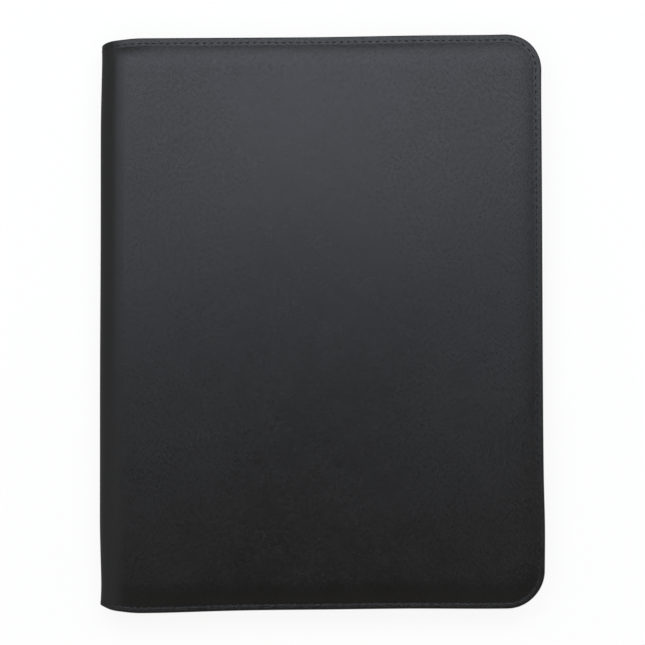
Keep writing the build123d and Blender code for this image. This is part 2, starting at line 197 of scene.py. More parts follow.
def wrapped(along, across, depth):
    """Where a point of the flat leather comes to lie: flat over the cover, then a quarter turn about the
    spine's edge, then straight down. along is x on the cover and the way round the spine beyond it, across
    is y, and depth is how far the point lies under the crown."""
    angle = np.clip((arc_x - along) / spine_radius, 0, np.pi / 2)
    down = np.maximum(0, arc_x - along - spine_radius * np.pi / 2)
    out = spine_radius - depth
    x = np.maximum(along, arc_x) - out * np.sin(angle)
    z = thickness - spine_radius - down + out * np.cos(angle)
    off_x, off_y = hand_made(np.maximum(along, -half_width), across)
    return np.stack(np.broadcast_arrays(x + off_x, across + off_y, z), axis=-1)


def rim_depth(along, across, share, fold):
    """Depth under the crown: the padding's rise, less on the spine than on the cover, the fold of the rim,
    the spine drawn in towards its two ends, a slow unevenness of the stuffing in sines, and the middle of
    the cover pushed out a little by the pad inside, in a bell."""
    spine = smooth(-along, -arc_x - 4, -arc_x + 10)
    rise = cover_rise + (spine_rise - cover_rise) * spine
    bow = np.where(across < 0, near_bow, far_bow) * spine * smooth(np.abs(across), 112, 168)
    slack = 0.10 * np.sin(along / 41 + 0.7) * np.sin(across / 53 - 0.4) + 0.06 * np.sin((along - across) / 23)
    lifted = np.where(fold < 0, fold * smooth(-across, -120, 150), fold)
    inner = lifted - (cover_filling - spine_filling) * spine * (fold >= cover_filling)
    swell = np.exp(-(along / 70) ** 2 - ((across - 25) / 95) ** 2)
    hollow = belly * (1 - swell) * (1 - smooth(-along, -arc_x - 30, -arc_x + 4))
    sunk = (bow - slack + most_slack + hollow) * (fold < cover_filling)
    return rise * share + inner + sunk * (1 - share)


def half_length(along):
    """Half the sheet's height: the full cover, drawn in towards the spine in two smooth steps."""
    return half_height - spine_pinch * smooth(-along, 106, 134) - end_pinch * smooth(-along, 124, 140)


inset, share, fold = rim_section()
middle = np.linspace(corner_radius - half_height, half_height - corner_radius, 75)
cover_along = np.linspace(half_width - corner_radius, arc_x, 58)
spine_along = np.linspace(arc_x, leather_end + (thickness / 2 - spine_radius), 25)[1:]
along = np.concatenate((cover_along, spine_along, [leather_end]))

# The section's loop at one place along the sheet: over the crown, round one rim, back inside, round the other
far_rim, near_rim = core_y + corner_radius - inset[1:], inset[::-1][1:-1] - half_height
loop_y = np.concatenate((middle, far_rim, middle[::-1][1:], near_rim))
loop_share = np.concatenate((0 * middle, share[1:], 0 * middle[1:], share[::-1][1:-1]))
loop_fold = np.concatenate((0 * middle, fold[1:], 0 * middle[1:] + cover_filling, fold[::-1][1:-1]))
sheet_along, sheet_across = np.meshgrid(along, loop_y, indexing="ij")
sheet_across = sheet_across * (half_length(sheet_along) / half_height)
sheet_depth = rim_depth(sheet_along, sheet_across, loop_share, loop_fold)
sheet = wrapped(sheet_along, sheet_across, sheet_depth)
sheet_lay = np.stack((sheet_along, sheet_across), axis=-1).reshape(-1, 2)

# The free edge: the rim's section along the straight side, and turned about each corner's centre
edge_x, edge_y = np.meshgrid(half_width - inset, middle, indexing="ij")
edge = wrapped(edge_x, edge_y, rim_depth(edge_x, edge_y, share[:, None], fold[:, None]))
patches = [(sheet, grid_faces(*sheet_along.shape, closed=True)), (edge, grid_faces(*edge_x.shape))]
lays = [sheet_lay, np.stack((edge_x, edge_y), axis=-1).reshape(-1, 2)]
corner_reach, corner_angle = np.meshgrid(corner_radius - inset, np.linspace(0, np.pi / 2, 25), indexing="ij")
for end in (1, -1):
    corner_x = core + corner_reach * np.cos(corner_angle)
    corner_y = end * (core_y + corner_reach * np.sin(corner_angle))
    corner_depth = rim_depth(corner_x, corner_y, share[:, None], fold[:, None])
    patches.append((wrapped(corner_x, corner_y, corner_depth), grid_faces(*corner_reach.shape)))
    lays.append(np.stack((corner_x, corner_y), axis=-1).reshape(-1, 2))


def both_sides(points):
    """Points for the front cover, and the same ones turned over in the middle plane for the back cover."""
    flip, lift = np.array([1.0, 1.0, -1.0]), np.array([0.0, 0.0, thickness])
    return ("front", points), ("back", points * flip + lift)


wrap_points, wrap_faces = gathered(patches)
wrap_cut = np.arange(sheet_along.size - len(loop_y), sheet_along.size)
wraps = {}
for side, places in both_sides(wrap_points):
    wraps[side] = add_piece(side + "_wrap", places, wrap_faces, np.concatenate(lays), cap=wrap_cut)


class Wire:
    """A shader socket in an expression: operators add Math nodes, and node() adds any other node."""

    def __init__(self, socket):
        self.socket = socket

    def node(self, kind, settings, sockets, output=0):
        """Adds a node of that kind: its settings first, then its sockets' values or links."""
        made = self.socket.id_data.nodes.new(kind)
        for key, value in settings.items():
            setattr(made, key, value)
        for key, value in sockets.items():
            if isinstance(value, Wire):
                self.socket.id_data.links.new(value.socket, made.inputs[key])
            else:
                made.inputs[key].default_value = value
        return Wire(made.outputs[output])

    def math(self, operation, first, second):
        return self.node("ShaderNodeMath", {"operation": operation}, {0: first, 1: second})

    def __add__(self, other):
        return self.math("ADD", self, other)

    def __sub__(self, other):
        return self.math("SUBTRACT", self, other)

    def __rsub__(self, other):
        return self.math("SUBTRACT", other, self)

    def __mul__(self, other):
        return self.math("MULTIPLY", self, other)

    def __truediv__(self, other):
        return self.math("DIVIDE", self, other)

    def __gt__(self, other):
        return self.math("GREATER_THAN", self, other)

    def __lt__(self, other):
        return self.math("LESS_THAN", self, other)

    __radd__ = __add__
    __rmul__ = __mul__

    def axis(self, letter):
        """One coordinate of a vector."""
        return self.node("ShaderNodeSeparateXYZ", {}, {"Vector": self}, letter)

    def noise(self, scale, detail=2.0, roughness=0.5):
        """Soft clouds from 0 to 1, scale of them to a metre."""
        sockets = {"Vector": self, "Scale": scale, "Detail": detail, "Roughness": roughness}
        return self.node("ShaderNodeTexNoise", {}, sockets, "Fac")

    def blend(self, low, high):
        """The colour that is this share of the way from low to high."""
        return self.node("ShaderNodeMix", {"data_type": "RGBA"}, {0: self, 6: low, 7: high}, 2)

    def ease(self, start, end):
        """0 below start, 1 above end and smooth between."""
        sockets = {"Value": self, "From Min": start, "From Max": end}
        return self.node("ShaderNodeMapRange", {"interpolation_type": "SMOOTHSTEP"}, sockets)

    def bump(self, height, strength=1.0, below=None):
        """A normal from relief of that height in metres, over another normal if one is given."""
        sockets = {"Height": self, "Distance": height, "Strength": strength}
        if below is not None:
            sockets["Normal"] = below
        return self.node("ShaderNodeBump", {}, sockets)


class Finish:
    """A procedural material. Constants go on the shader's own sockets; paint() links what varies."""

    def __init__(self, name, **constants):
        self.material = bpy.data.materials.new(name)
        self.material.use_nodes = True
        nodes = self.material.node_tree.nodes
        self.shader = nodes["Principled BSDF"]
        for key, value in constants.items():
            self.shader.inputs[key.replace("_", " ")].default_value = value
        self.place = Wire(nodes.new("ShaderNodeTexCoord").outputs["Object"])

    def attribute(self, name):
        """The piece's own attribute of that name, as a vector."""
        return self.place.node("ShaderNodeAttribute", {"attribute_name": name}, {}, "Vector")

    def paint(self, **sockets):
        for key, wire in sockets.items():
            self.material.node_tree.links.new(wire.socket, self.shader.inputs[key.replace("_", " ")])
        return self

    def cover(self, share, other):
        """Shows another shader in this one's place, by a share that may vary."""
        shown = self.place.node(
            "ShaderNodeMixShader", {}, {0: share, 1: Wire(self.shader.outputs["BSDF"]), 2: other}, "Shader"
        )
        tree = self.material.node_tree
        tree.links.new(shown.socket, tree.nodes["Material Output"].inputs["Surface"])

    def on(self, *pieces):
        for piece in pieces:
            piece.data.materials.clear()
            piece.data.materials.append(self.material)


def grey(level, warmth=0.0):
    """A near-grey colour, warmer or cooler by a small share."""
    return (level * (1 + warmth), level, level * (1 - warmth), 1.0)


def leather(name, base, rough, lay, worn=None):
    """Corrected-grain leather: a fine net of creases between pebbles under a millimetre wide, finer pores
    over it, and a slow mottle in colour and polish. Worn leather is handled smoother in the middle, and
    goes over to a matte finish where it bends round the spine, between the two places in worn. That matte
    finish is also lighter in colour, a painted sheen in place of the reflection it no longer shows."""
    finish = Finish(name, IOR=1.47)
    flat = finish.attribute(lay) if lay else finish.place
    pebbles_to_a_metre, crook = 1150.0, 0.0006
    warp = flat.node("ShaderNodeTexNoise", {}, {"Vector": flat, "Scale": 700.0, "Detail": 1.0}, "Color")
    bent = flat.node(
        "ShaderNodeVectorMath", {"operation": "MULTIPLY_ADD"}, {0: warp, 1: (crook,) * 3, 2: flat}
    )
    cells = flat.node(
        "ShaderNodeTexVoronoi", {"feature": "DISTANCE_TO_EDGE"},
        {"Vector": bent, "Scale": pebbles_to_a_metre}, "Distance"
    )
    pebble = cells.ease(0.0, 0.32)
    pores = flat.noise(5200.0, 1.0)
    flecks = flat.noise(430.0, 3.0, 0.6)
    mottle = flat.noise(38.0, 4.0, 0.6)
    clouds = flat.noise(11.0, 2.0)
    tone = pebble * 0.30 + mottle * 0.55 + clouds * 0.15
    worked = 0.12 * (1 - pebble) + 0.16 * (flecks - 0.5)
    polish = rough + worked + 0.10 * (mottle - 0.5) + 0.05 * (clouds - 0.5)
    if worn:
        off_middle = flat.math("ABSOLUTE", flat.axis("X"), 0.0)
        handled = 0.05
        polish = polish + handled * off_middle.ease(0.02, 0.11) - handled
    relief = (pebble + 0.25 * pores).bump(0.00005, 0.75, flat.noise(95.0, 2.0).bump(0.0003, 0.25))
    # Round the spine the leather goes matte: rougher, with a weaker reflection, and a lighter colour that is
    # painted sheen
    if worn:
        matte = {"Base Color": grey(0.0225), "Roughness": 0.8, "Specular IOR Level": 0.1, "Normal": relief}
        matte_painted_sheen = flat.node("ShaderNodeBsdfPrincipled", {}, matte, "BSDF")
        finish.cover(0.95 * (0 - flat.axis("X")).ease(*worn), matte_painted_sheen)
    return finish.paint(
        Base_Color=tone.blend(grey(base * 0.72, 0.11), grey(base * 1.28, 0.08)),
        Roughness=polish,
        Normal=relief,
    )


# worn spans the spine's bend, where the leather's lighter matte colour is painted sheen
cover_leather = leather("cover_leather", 0.0079, 0.20, "lay", worn=(0.113, 0.125))
for side, wrap in wraps.items():
    cover_leather.on(wrap)
    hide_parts(side + "_skin", side + "_foam", "spine_skin", "spine_foam")


def bend_front(piece):
    """Bakes a piece's transform into its mesh. It does not bend it with the leather of the front crease, from
    the spine to the front cover.
    """
    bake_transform(piece)


def bend_back(piece):
    """Bakes a piece's transform into its mesh. It does not bend it with the leather of the back crease, from
    the back cover to the spine.
    """
    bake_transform(piece)


bends = {"front": bend_front, "back": bend_back}
for side, bend in bends.items():
    bend(wraps[side])

# Topstitching: black polyester thread, one line round the three free sides of each cover and on round the
# ends of the spine. Each stitch is a short bar of thread that dives into the leather at both ends.
stitch_pitch = 4.3
stitch_length = 2.5
thread_radius = 0.4


def seam_line(step):
    """Points along the seam, an equal step apart, from the cut of the spine along one end, round the two free
    corners and back along the other end: the flat sheet's place and direction at each."""
    turn = corner_radius - seam_inset
    straight = core - leather_end
    runs = np.array([straight, turn * np.pi / 2, 2 * core_y, turn * np.pi / 2, straight])
    ends = np.cumsum(runs)
    steps = (np.arange(int(ends[-1] / step)) + 0.5) * step
    run = np.searchsorted(ends, steps)
    gone = steps - (ends - runs)[run]
    angle = np.select([run == 1, run == 3], [np.pi / 2 - gone / turn, -gone / turn], 0.0)
    x = np.select(
        [run == 0, run == 2, run == 4],
        [leather_end + gone, np.full_like(gone, core + turn), core - gone],
        core + turn * np.cos(angle),
    )
    side = np.where(run < 2, 1.0, -1.0)
    end_y = side * core_y + turn * np.where(run % 2 == 0, side, np.sin(angle))
    y = np.select([run == 2], [core_y - gone], end_y)
    heading = np.select([run == 0, run == 2, run == 4], [0.0, -np.pi / 2, np.pi], angle - np.pi / 2)
    return x, y * np.where(run == 2, 1.0, half_length(x) / half_height), heading


def thread_bars(x, y, heading, surface):
    """Bars of thread along a seam: a six-sided tube of five rings whose ends narrow and sink, turned to each
    stitch's heading, moved to its place and laid on the surface."""
    ring = np.linspace(0, 2 * np.pi, 7)[:-1]
    reach = np.array([-1.0, -0.86, 0.0, 0.86, 1.0])
    width = np.array([0.25, 0.85, 1.0, 0.85, 0.25]) * thread_radius
    sink = np.array([0.75, 0.30, 0.0, 0.30, 0.75]) * thread_radius
    lengthwise = x[:, None, None] + 0 * ring
    u = reach[:, None] * stitch_length / 2 + 0 * ring
    v = width[:, None] * np.cos(ring)
    depth = sink[:, None] - width[:, None] * np.sin(ring)
    c, s = np.cos(heading)[:, None, None], np.sin(heading)[:, None, None]
    points = surface(lengthwise + u * c - v * s, y[:, None, None] + u * s + v * c, depth)
    faces = grid_faces(len(reach), len(ring), closed=True)
    stitches = np.arange(len(x))[:, None, None] * reach.size * ring.size
    return points.reshape(-1, 3), (faces + stitches).reshape(-1, 4)


def on_flange(along, across, depth):
    """A place in the seam's groove, at that depth under the flange."""
    groove = rim_depth(along, across, 1.0, 0.0) + 0.55 * seam_depth
    return wrapped(along, across, groove + depth)


thread = Finish("sewing_thread", IOR=1.5, Specular_IOR_Level=0.25)
ply = thread.place.node("ShaderNodeTexNoise", {}, {"Vector": thread.place, "Scale": 1500.0}, "Fac")
thread.paint(
    Base_Color=ply.blend(grey(0.007), grey(0.016)),
    Roughness=0.65 + 0.25 * ply,
    Normal=ply.bump(0.00008, 0.6),
)
seam_points, seam_faces = thread_bars(*seam_line(stitch_pitch), on_flange)
for side, places in both_sides(seam_points):
    seam = add_piece(side + "_topstitch", places, seam_faces)
    thread.on(seam)
    bends[side](seam)

# Cover boards and spine stiffener: black-dyed pressed fibre board, cut to size and glued between the foam
# under the leather and the lining.
greyboard = Finish("stiff_board", Roughness=0.9)
fibres = greyboard.place.noise(900.0, 3.0)
flecks = greyboard.place.noise(160.0, 2.0) > 0.64
greyboard.paint(
    Base_Color=(fibres * 0.8 + flecks * 0.2).blend(grey(0.018, 0.04), grey(0.042, 0.05)),
    Normal=fibres.bump(0.0001, 0.4),
)
greyboard.on(*(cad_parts[name] for name in ("front_board", "back_board", "spine_board")))

# Linings: dark twill cloth, cut to the inside of the zip and glued over each board, with a narrow strip of
# the same cloth glued down the spine.
lining_inset = 6.65
lining_radius = corner_radius - lining_inset
lining_width, lining_height = half_width - lining_inset - arc_x, 2 * (half_height - lining_inset)
lining_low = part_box("front_lining")[0].z / mm
lining_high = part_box("front_lining")[1].z / mm
soft_lip = ((0.15, 0.0), (0.0, 0.35), (0.0, 0.65), (0.15, 1.0))


def panel(box, under, over, radius=0.0, lip=soft_lip, step=5.0):
    """A thin closed panel with plan (left, right, low, high), its two right-hand corners rounded: a grid of
    its upper face, one of its under face, and the lip's steps of (inset, share of the height) round its
    outline. under and over give the two faces' heights as functions of x and y."""
    left, right, low, high = box
    width = right - left
    columns = int(width / step) + 2
    rows = int((high - low) / step) + 2
    u = np.linspace(0, 1, columns)
    if radius:
        turn = np.linspace(0, np.pi / 2, 9)[1:]
        u = np.concatenate((u * (width - radius), width - radius * (1 - np.sin(turn)))) / width
    v = np.linspace(0, 1, rows)

    def plan(u, v, inset):
        """Shares across and up as x and y, inset from the outline, each corner cut off by its circle."""
        x = left + inset + u * (width - 2 * inset)
        past = np.clip(x - (right - radius), 0, max(radius - inset, 0))
        cut = radius - inset - np.sqrt(np.maximum((radius - inset) ** 2 - past ** 2, 0)) if radius else 0 * x
        return x, low + inset + cut + v * (high - low - 2 * inset - 2 * cut)

    patches = []
    for inset, height in ((lip[0][0], under), (lip[-1][0], over)):
        X, Y = plan(*np.meshgrid(u, v, indexing="ij"), inset)
        patches.append((np.stack((X, Y, height(X, Y) + 0 * X), axis=-1), grid_faces(*X.shape)))
    loop_u = np.concatenate((u, np.ones(rows - 2), u[::-1], np.zeros(rows - 2)))
    loop_v = np.concatenate((0 * u, v[1:-1], 0 * u + 1, v[::-1][1:-1]))
    loops = []
    for inset, share in lip:
        x, y = plan(loop_u, loop_v, inset)
        loops.append(np.stack((x, y, under(x, y) * (1 - share) + over(x, y) * share + 0 * x), axis=-1))
    patches.append((np.stack(loops), grid_faces(len(lip), len(loop_u), closed=True)))
    return gathered(patches)


def level(height):
    """A flat face at that height."""
    return lambda x, y: height + 0 * x


twill = Finish("lining_cloth", Roughness=0.85, Sheen_Weight=0.25, Sheen_Roughness=0.5)
wales_to_a_metre, full_turn, picks_turn = 1400.0, 6.2832, 12000.0
ribs = (twill.place.axis("X") + twill.place.axis("Y") + twill.place.axis("Z")) * wales_to_a_metre
wale = twill.place.math("SINE", ribs * full_turn, 0.0)
picks = twill.place.math("SINE", (twill.place.axis("X") - twill.place.axis("Y")) * picks_turn, 0.0)
dye = twill.place.noise(60.0, 3.0)
twill.paint(
    Base_Color=(0.35 + 0.2 * wale + 0.12 * picks + 0.3 * dye).blend(grey(0.016), grey(0.05)),
    Normal=(wale + 0.4 * picks).bump(0.00012, 0.6),
)
lining_box = (arc_x, half_width - lining_inset, lining_inset - half_height, half_height - lining_inset)
lining_flat = panel(lining_box, level(lining_low), level(lining_high), lining_radius)
lining_area = lining_width * lining_height - (2 - np.pi / 2) * lining_radius ** 2
for side, places in both_sides(lining_flat[0]):
    cloth = add_piece(side + "_lining_cloth", places, lining_flat[1])
    twill.on(cloth)
    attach(cloth, side + "_cover")
    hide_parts(side + "_lining")
    side + "_board"
    lining_area * mm * mm
strip_low, strip_high = (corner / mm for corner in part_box("spine_lining"))
strip_box = (strip_low.z, strip_high.z, strip_low.y, strip_high.y)
strip = panel(strip_box, level(strip_low.x), level(strip_high.x))
spine_cloth = add_piece("spine_lining_cloth", strip[0][:, ::-1], strip[1])
twill.on(spine_cloth)
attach(spine_cloth, "spine")
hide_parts("spine_lining")

# Crease cloths: loose strips of the lining's twill, sewn to the spine strip and to a cover's lining. Each one
# lies folded in the crease of the closed case.
fold_start, fold_sag, fold_end = np.array([(-126.2, 17.0), (-125.9, 20.9), (-115.5, 19.95)])
fold_cloth = 0.5


def carried(profile, gone, x, y, angle):
    """A closed profile of (outward, z) nodes carried along a wall, with flat ends. Also gives each point's
    place in the flat strip: the way along it and the way round the profile."""
    out, height = profile[:, 0], profile[:, 1]
    X = x[:, None] + out * np.cos(angle)[:, None]
    Y = y[:, None] + out * np.sin(angle)[:, None]
    Z = 0 * X + height
    girth = np.concatenate(([0], np.cumsum(np.hypot(np.diff(out), np.diff(height)))))
    lay = np.stack(np.broadcast_arrays(gone[:, None], girth), axis=-1).reshape(-1, 2)
    rows = np.stack((X, Y, Z), axis=-1)
    half = len(profile) // 2
    ends = [(np.stack((row[:half], row[half:][::-1])), grid_faces(2, half)) for row in (rows[0], rows[-1])]
    points, faces = gathered([(rows, grid_faces(*X.shape, closed=True)), *ends])
    lay_rows = lay.reshape(*X.shape, 2)
    end_lays = [np.concatenate((row[:half], row[half:][::-1])) for row in (lay_rows[0], lay_rows[-1])]
    return points, faces, np.concatenate([lay, *end_lays])


# A strip in x and z: a curve from start to end, drawn out by the sag, half the cloth on either side, and
# carried along y
reach = np.linspace(0, 1, 13)[:, None]
fold_line = (1 - reach) ** 2 * fold_start + 2 * reach * (1 - reach) * fold_sag + reach ** 2 * fold_end
heading = np.gradient(fold_line, axis=0)
side_way = np.column_stack((-heading[:, 1], heading[:, 0])) / np.linalg.norm(heading, axis=1)[:, None]
half_cloth = side_way * fold_cloth / 2
fold_loop = np.concatenate((fold_line + half_cloth, (fold_line - half_cloth)[::-1]))
fold_y = np.linspace(strip_low.y, strip_high.y, 61)
fold_mesh = carried(fold_loop, fold_y, 0 * fold_y, fold_y, 0 * fold_y)
for side, places in both_sides(fold_mesh[0]):
    cloth = add_piece(side + "_crease_cloth", places, fold_mesh[1])
    twill.on(cloth)
    if side == "front":
        start, end = (Vector((x, 0, z)) * mm for x, z in (fold_start, fold_end))
        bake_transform(cloth)
    else:
        start, end = (Vector((x, 0, thickness - z)) * mm for x, z in (fold_end, fold_start))
        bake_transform(cloth)

# Zip tapes: woven polyester tape, sewn under each flange by its folded hem and standing as a wall round the
# three free sides. Its free edge carries the teeth.
zip_inset = 6.0
tape_cloth = 0.7
tape_in_bead = 1.0
tape_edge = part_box("upper_zip_tape")[0].z / mm - tape_in_bead
tape_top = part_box("upper_zip_tape")[1].z / mm
hem_reach = 4.5
tape_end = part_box("upper_zip_tape")[0].x / mm
wall_step = 4.0


def along_wall(near, turn, free, far):
    """Places along the zip wall: x on the near side, the angle turned in each free corner, y on the free side
    and x on the far side become x, y and the outward direction. The wall goes round the corners' centres, as
    far from them as the zip's inset leaves."""
    out = corner_radius - zip_inset
    angle = np.concatenate((0 * near - np.pi / 2, turn - np.pi / 2, 0 * free, turn, 0 * far + np.pi / 2))
    x = np.concatenate((near, 0 * turn + core, 0 * free + core, 0 * turn + core, far))
    y = np.concatenate((0 * near - core_y, 0 * turn - core_y, free, 0 * turn + core_y, 0 * far + core_y))
    return x + out * np.cos(angle), y + out * np.sin(angle), angle


def wall_line(start=tape_end, end=tape_end):
    """The zip wall from start on the near side, round both free corners, to end on the far side in steps of
    about equal length: the way gone, x, y and the outward direction."""
    near = np.linspace(start, core, int((core - start) / wall_step) + 2)
    turn = np.linspace(0, np.pi / 2, 17)[1:]
    free = np.linspace(-core_y, core_y, int(2 * core_y / wall_step) + 2)[1:]
    far = np.linspace(core, end, int((core - end) / wall_step) + 2)[1:]
    x, y, angle = along_wall(near, turn, free, far)
    gone = np.concatenate(([0], np.cumsum(np.hypot(np.diff(x), np.diff(y)))))
    return gone, x, y, angle


tape_weave = Finish("zip_tape", Roughness=0.8, Sheen_Weight=0.2)
tape_lay = tape_weave.attribute("lay")
warp_turn, weft_turn = 9000.0, 8000.0
warp = tape_weave.place.math("SINE", tape_lay.axis("Y") * warp_turn, 0.0)
weft = tape_weave.place.math("SINE", (tape_lay.axis("X") + tape_lay.axis("Y") * 0.5) * weft_turn, 0.0)
tape_weave.paint(
    Base_Color=(0.45 + 0.25 * warp * weft + 0.3 * tape_lay.noise(300.0)).blend(grey(0.008), grey(0.028)),
    Normal=(warp * weft).bump(0.00012, 0.7),
)
near_face, far_face = tape_cloth / 2, -tape_cloth / 2
hem_end = hem_reach - tape_cloth / 2
tape_profile = np.array([
    (near_face, tape_edge), (near_face, (tape_edge + tape_top) / 2 - 0.6),
    (near_face + 0.1, tape_top - tape_cloth - 0.5), (near_face + 0.6, tape_top - tape_cloth),
    (hem_end, tape_top - tape_cloth), (hem_end, tape_top), (near_face + 0.3, tape_top),
    (far_face + 0.25, tape_top - 0.15), (far_face, tape_top - 0.8), (far_face, tape_edge),
])
tape_line = wall_line()
tape_mesh = carried(tape_profile, *tape_line)
tape_flat = ((tape_top - tape_edge + hem_reach) * mm, tape_line[0][-1] * mm)
for row, (side, places) in zip(("upper", "lower"), both_sides(tape_mesh[0])):
    tape = add_piece(row + "_tape_weave", places, tape_mesh[1], tape_mesh[2])
    tape_weave.on(tape)
    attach(tape, side + "_cover")
    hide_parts(row + "_zip_tape")

# Zip teeth and end stops: hard black plastic, moulded straight on to the tape's edge. Each row is a bead with
# a tooth every few millimetres, half a pitch out of step with the other row, and the stops close its ends.
bead_low, bead_high, bead_half = 2.8, 4.0, 1.15
bead_chamfer = 0.2
tooth_tip, end_room = 0.48, 0.75
row_start, upper_start = tape_end + 2.6, tape_end + 19.2
side_teeth, free_teeth, corner_teeth = 66, 92, 7
moulded = Finish("zip_teeth", IOR=1.5)
sprue = moulded.place.noise(420.0, 2.0)
moulded.paint(
    Base_Color=sprue.blend(grey(0.010), grey(0.024)),
    Roughness=0.26 + 0.18 * sprue,
    Normal=moulded.place.noise(2600.0).bump(0.00004, 0.3),
)


def tooth_places(phase, first_x):
    """Where a row's teeth stand: x, y and the outward direction of each, along the near side from first_x,
    round the free corners and back along the far side, phase of a pitch on from the start of every run."""
    side = (np.arange(side_teeth) + phase) * (core - row_start) / side_teeth
    near = (row_start + side)[row_start + side > first_x + end_room]
    turn = (np.arange(corner_teeth) + phase) / corner_teeth * np.pi / 2
    free = (np.arange(free_teeth) + phase) * 2 * core_y / free_teeth - core_y
    return along_wall(near, turn, free, core - side)


def tooth_row(phase, first_x):
    """A bead and its teeth. A tooth is a stack of rounded rings from inside the bead to the tip: narrow at
    the neck, wide at the head and flat at the tip; ring and height are its two parameters."""
    height = np.array([bead_low + 0.1, 2.2, 1.55, 0.95, 0.62, tooth_tip, tooth_tip])
    half_along = np.array([0.9, 0.82, 1.0, 1.3, 1.3, 1.05, 0.0])
    half_out = np.array([1.12, 1.1, 1.15, 1.2, 1.2, 1.0, 0.0])
    ring = np.arange(8) * np.pi / 4 + np.pi / 8
    circle = np.stack((np.cos(ring), np.sin(ring)))
    squarish = circle / np.max(np.abs(circle), axis=0) ** 0.85
    along, out = half_along[:, None] * squarish[0], half_out[:, None] * squarish[1]
    x, y, angle = (values[:, None, None] for values in tooth_places(phase, first_x))
    X = x + out * np.cos(angle) - along * np.sin(angle)
    Y = y + out * np.sin(angle) + along * np.cos(angle)
    teeth = np.stack((X, Y, thickness / 2 + height[:, None] + 0 * X), axis=-1)
    stacks = grid_faces(len(height), len(ring), closed=True)
    counted = np.arange(len(x))[:, None, None] * height.size * ring.size
    flat, low, high = bead_half - bead_chamfer, bead_low + bead_chamfer, bead_high - bead_chamfer
    bead = np.array([(flat, bead_low), (bead_half, low), (bead_half, high), (flat, bead_high)])
    profile = np.concatenate((bead, bead[::-1] * (-1, 1))) + (0, thickness / 2)
    rail = carried(profile, *wall_line(first_x, row_start))[:2]
    return gathered([(teeth, (stacks + counted).reshape(-1, 4)), rail])


def rounded_copy(node, name, width):
    """A copy of a hard CAD node with its loose triangles joined into whole faces and its edges rounded by
    width. The rounding is not held back at short edges, which would take all of it away."""
    same_place, same_plane, sharp = 0.000002, 0.01, np.radians(40)
    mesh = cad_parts[node].data.copy()
    work = bmesh.new()
    work.from_mesh(mesh)
    bmesh.ops.remove_doubles(work, verts=work.verts, dist=same_place)
    bmesh.ops.dissolve_limit(work, angle_limit=same_plane, verts=work.verts, edges=work.edges)
    work.to_mesh(mesh)
    work.free()
    mesh.shade_smooth()
    mesh.set_sharp_from_angle(angle=sharp)
    piece = add_object(name, mesh)
    rounding = piece.modifiers.new("rounding", "BEVEL")
    rounding.width = width * mm
    rounding.segments = 2
    rounding.limit_method = "ANGLE"
    rounding.angle_limit = sharp
    rounding.harden_normals = True
    rounding.use_clamp_overlap = False
    return piece


tooth_rows = (("upper", "front_cover", 0.25, upper_start), ("lower", "back_cover", 0.75, row_start))
for row, body, phase, first_x in tooth_rows:
    points, faces = tooth_row(phase, first_x)
    places = dict(both_sides(points))[body.split("_")[0]]
    made = add_piece(row + "_teeth_row", places, faces, crease=50)
    stops = rounded_copy(row + "_zip_stops", row + "_stops", 0.3)
    for piece, node in ((made, row + "_zip_teeth"), (stops, row + "_zip_stops")):
        moulded.on(piece)
        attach(piece, body)
        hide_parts(node)

# Slider, cap and pull: die-cast zinc, tumbled smooth and plated a dark nickel. The plates' lips hold the rows
# of teeth between them, and the pull swings on a bar under the cap.
gunmetal = Finish("zip_metal", Metallic=1.0)
tumbled = gunmetal.place.noise(1100.0, 3.0)
worn = gunmetal.place.noise(240.0, 2.0)
gunmetal.paint(
    Base_Color=worn.blend(grey(0.11, -0.03), grey(0.24, 0.01)),
    Roughness=0.22 + 0.16 * tumbled,
    Normal=tumbled.bump(0.00004, 0.3),
)
roundings = {"slider_body": 0.22, "slider_cap": 0.16, "pull_tab": 0.18}
for node, width in roundings.items():
    body = "zip_" + node.split("_")[0]
    piece = rounded_copy(node, node + "_cast", width)
    gunmetal.on(piece)
    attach(piece, body)
    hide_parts(node)

# Pen loop: a band of ribbed black elastic, closed into a tube and sewn down along one side, flat against the
# spine's lining.
loop_low, loop_high = (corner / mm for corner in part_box("pen_loop"))
loop_radius = (loop_high.z - loop_low.z) / 2
loop_axis = np.array([loop_high.x - loop_radius, (loop_low.z + loop_high.z) / 2])
band_thickness = 0.8
rib_height, rib_pitch = 0.07, 1.4

# Two tubes, one in the other: ribs in a cosine along y, ends rounded off, and a bell of cloth at the seam
loop_angle = np.linspace(0, 2 * np.pi, 49)[:-1]
loop_y = np.linspace(loop_low.y, loop_high.y, 113)
rib = rib_height * np.cos(2 * np.pi * (loop_y - loop_low.y) / rib_pitch)
hem_taper = 0.25 * np.exp(-np.minimum(loop_y - loop_low.y, loop_high.y - loop_y) / 0.2)
base_swell = 0.55 * bell(loop_angle, np.pi, 0.42)
outer = loop_radius - 0.1 + rib[:, None] - hem_taper[:, None] + base_swell
inner = loop_radius - band_thickness + 0.05 * rib[:, None] + hem_taper[:, None] + 0 * base_swell
shells = []
for radius in (outer, inner):
    ring_x = np.maximum(loop_axis[0] + radius * np.cos(loop_angle), loop_low.x)
    ring_z = loop_axis[1] + radius * np.sin(loop_angle)
    shells.append(np.stack((ring_x, loop_y[:, None] + 0 * ring_x, ring_z), axis=-1))
tube = np.concatenate((shells[0], shells[1][::-1], shells[0][:1]))
pen_band = add_piece("pen_loop_band", *gathered([(tube, grid_faces(*tube.shape[:2], closed=True))]))
elastic = Finish("elastic_web", Roughness=0.75, Sheen_Weight=0.2)
strand_turn = 4488.0
strands = elastic.place.math("SINE", elastic.place.axis("Y") * strand_turn, 0.0)
knit = elastic.place.noise(2400.0)
elastic.paint(
    Base_Color=(0.4 * strands + 0.5 * knit + 0.2).blend(grey(0.008), grey(0.03)),
    Normal=(strands + knit).bump(0.00008, 0.6),
)
elastic.on(pen_band)
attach(pen_band, "spine")
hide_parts("pen_loop")

